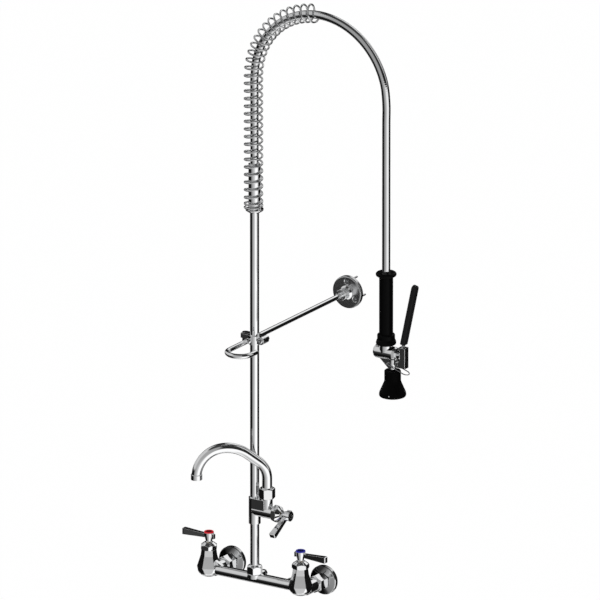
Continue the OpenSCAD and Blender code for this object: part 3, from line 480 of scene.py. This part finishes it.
def make_floor():
    """A round floor, white to the camera but for the object's soft shadow."""
    rings, sides = 4, 48
    verts, faces = [(0, 0, FLOOR_Z)], []
    for i in range(1, rings + 1):
        r = FLOOR_R * (i / rings) ** 2
        for k in range(sides):
            a = 2 * math.pi * k / sides
            verts.append((r * math.cos(a), r * math.sin(a), FLOOR_Z))
    for k in range(sides):
        faces.append((0, 1 + k, 1 + (k + 1) % sides))
    for i in range(rings - 1):
        for k in range(sides):
            a, b = 1 + i * sides + k, 1 + i * sides + (k + 1) % sides
            faces.append((a, a + sides, b + sides, b))
    floor = new_object("floor", verts, faces)
    mat = bpy.data.materials.new("floor")
    mat.use_nodes = True
    tree = mat.node_tree
    tree.nodes.clear()
    out = tree.nodes.new("ShaderNodeOutputMaterial")
    diffuse = tree.nodes.new("ShaderNodeBsdfDiffuse")
    diffuse.inputs["Color"].default_value = (0.9, 0.9, 0.9, 1)
    white = tree.nodes.new("ShaderNodeEmission")
    path = tree.nodes.new("ShaderNodeLightPath")
    seen = path.outputs["Is Camera Ray"]
    for ray in ("Is Glossy Ray", "Is Transmission Ray"):
        add = tree.nodes.new("ShaderNodeMath")
        add.operation = "MAXIMUM"
        tree.links.new(seen, add.inputs[0])
        tree.links.new(path.outputs[ray], add.inputs[1])
        seen = add.outputs[0]
    share = tree.nodes.new("ShaderNodeMath")
    share.operation = "MULTIPLY"
    share.inputs[1].default_value = FLOOR_WHITE
    tree.links.new(seen, share.inputs[0])
    mix = tree.nodes.new("ShaderNodeMixShader")
    tree.links.new(share.outputs[0], mix.inputs["Fac"])
    tree.links.new(diffuse.outputs[0], mix.inputs[1])
    tree.links.new(white.outputs[0], mix.inputs[2])
    tree.links.new(mix.outputs[0], out.inputs["Surface"])
    floor.data.materials.append(mat)
    floor.visible_glossy = False


make_floor()


EVEN_LIGHT = 0.85     # strength of the world on matt surfaces
DARK_CEILING, PALE_GROUND = 0.05, 0.90


def make_world():
    """White to the camera, an even pale light on matt surfaces, and a studio of pale and dark
    panels in the reflections of polished ones. Directions are fixed in the world."""
    world = bpy.data.worlds.new("studio")
    bpy.context.scene.world = world
    world.use_nodes = True
    tree = world.node_tree
    tree.nodes.clear()
    link = tree.links.new

    def math_node(op, *values):
        n = tree.nodes.new("ShaderNodeMath")
        n.operation = op
        for i, v in enumerate(values):
            if isinstance(v, float):
                n.inputs[i].default_value = v
            else:
                link(v, n.inputs[i])
        return n.outputs[0]

    def ramp(value, stops):
        """Greys from a value, through (value, grey) stops."""
        n = tree.nodes.new("ShaderNodeValToRGB")
        while len(n.color_ramp.elements) < len(stops):
            n.color_ramp.elements.new(0.5)
        for e, (at, grey) in zip(n.color_ramp.elements, stops):
            e.position = at
            e.color = (grey, grey, grey, 1)
        link(value, n.inputs["Fac"])
        return n.outputs["Color"]

    coord = tree.nodes.new("ShaderNodeTexCoord")
    split = tree.nodes.new("ShaderNodeSeparateXYZ")
    link(coord.outputs["Generated"], split.inputs[0])
    x, y, z = split.outputs
    turn = math_node("ARCTAN2", x, math_node("MULTIPLY", y, -1.0))
    share = math_node("ADD", math_node("DIVIDE", turn, 2 * math.pi), 0.5)

    def round_panels(stops):
        """A band of panels round the object, from (degrees, grey) stops."""
        return ramp(share, [(degrees / 360 + 0.5, grey) for degrees, grey in stops])

    def above(start, end):
        """0 below the first elevation and 1 above the second, both in degrees."""
        return ramp(math_node("ADD", math_node("MULTIPLY", z, 0.5), 0.5),
                    [(math.sin(math.radians(d)) / 2 + 0.5, value)
                     for d, value in ((start, 0.0), (end, 1.0))])

    def over(lower, upper, mask):
        """The upper grey or colour where the mask is 1, and the lower one where it is 0."""
        mix = tree.nodes.new("ShaderNodeMixRGB")
        link(mask, mix.inputs["Fac"])
        for colour, socket in ((lower, mix.inputs["Color1"]), (upper, mix.inputs["Color2"])):
            if isinstance(colour, float):
                socket.default_value = (colour, colour, colour, 1.0)
            else:
                link(colour, socket)
        return mix.outputs["Color"]

    low = round_panels([
        (-180, 0.006), (-178, 0.006), (-174, 0.50), (-164, 0.50), (-160, 0.006), (-136, 0.006),
        (-132, 0.55), (-114, 0.55), (-110, 0.006),
        (-37, 0.006), (-32, 0.034), (-28, 0.07), (-23, 0.27), (0, 0.40), (28, 0.60),
        (44, 0.80), (50, 1.10), (101, 1.10), (107, 0.008), (180, 0.006),
    ])
    middle = round_panels([
        (-180, 0.60), (-173, 0.50), (-167, 0.008), (-126, 0.008), (-118, 0.52), (-34, 0.60),
        (-24, 0.44), (44, 0.40), (53, 0.008), (107, 0.008), (115, 0.50), (135, 0.50), (140, 0.01),
        (158, 0.01), (165, 0.80), (180, 0.60),
    ])
    high = round_panels([
        (-180, 0.90), (-157, 0.85), (-151, 0.008), (-126, 0.008), (-118, 0.60), (-34, 0.64),
        (-24, 0.42), (42, 0.36), (52, 0.03), (107, 0.03), (115, 0.74), (135, 0.74), (140, 0.01),
        (156, 0.01), (163, 0.95), (180, 0.90),
    ])
    studio = over(low, middle, above(-3, 3))
    studio = over(studio, high, above(14, 21))
    studio = over(studio, DARK_CEILING, above(54, 61))
    studio = over(PALE_GROUND, studio, above(-72, -62))

    path = tree.nodes.new("ShaderNodeLightPath")
    glossy = tree.nodes.new("ShaderNodeBackground")
    link(studio, glossy.inputs["Color"])
    even = tree.nodes.new("ShaderNodeBackground")
    even.inputs["Color"].default_value = (1, 1, 1, 1)
    even.inputs["Strength"].default_value = EVEN_LIGHT
    white = tree.nodes.new("ShaderNodeBackground")
    white.inputs["Color"].default_value = (1, 1, 1, 1)

    def choose(fac, first, second):
        mix = tree.nodes.new("ShaderNodeMixShader")
        for output, socket in zip((fac, first, second), mix.inputs):
            link(output, socket)
        return mix.outputs[0]

    lit = choose(path.outputs["Is Glossy Ray"], even.outputs[0], glossy.outputs[0])
    seen = math_node("MAXIMUM", path.outputs["Is Camera Ray"], path.outputs["Is Transmission Ray"])
    out = tree.nodes.new("ShaderNodeOutputWorld")
    link(choose(seen, lit, white.outputs[0]), out.inputs["Surface"])


make_world()


LAMP_AIM = Vector((0.1, 0, 0.5))


def area_light(name, where, size, power):
    """A soft square lamp that shines on the faucet and isn't seen in its reflections."""
    data = bpy.data.lights.new(name, "AREA")
    data.size = size
    data.energy = power
    obj = bpy.data.objects.new(name, data)
    bpy.context.scene.collection.objects.link(obj)
    obj.location = where
    obj.rotation_euler = (LAMP_AIM - Vector(where)).to_track_quat("-Z", "Y").to_euler()
    obj.visible_glossy = False


area_light("key", (2.2, -2.0, 2.4), 1.6, 18)
area_light("fill", (-2.2, -1.6, 1.4), 2.0, 8)

bpy.context.scene.view_settings.view_transform = "Standard"
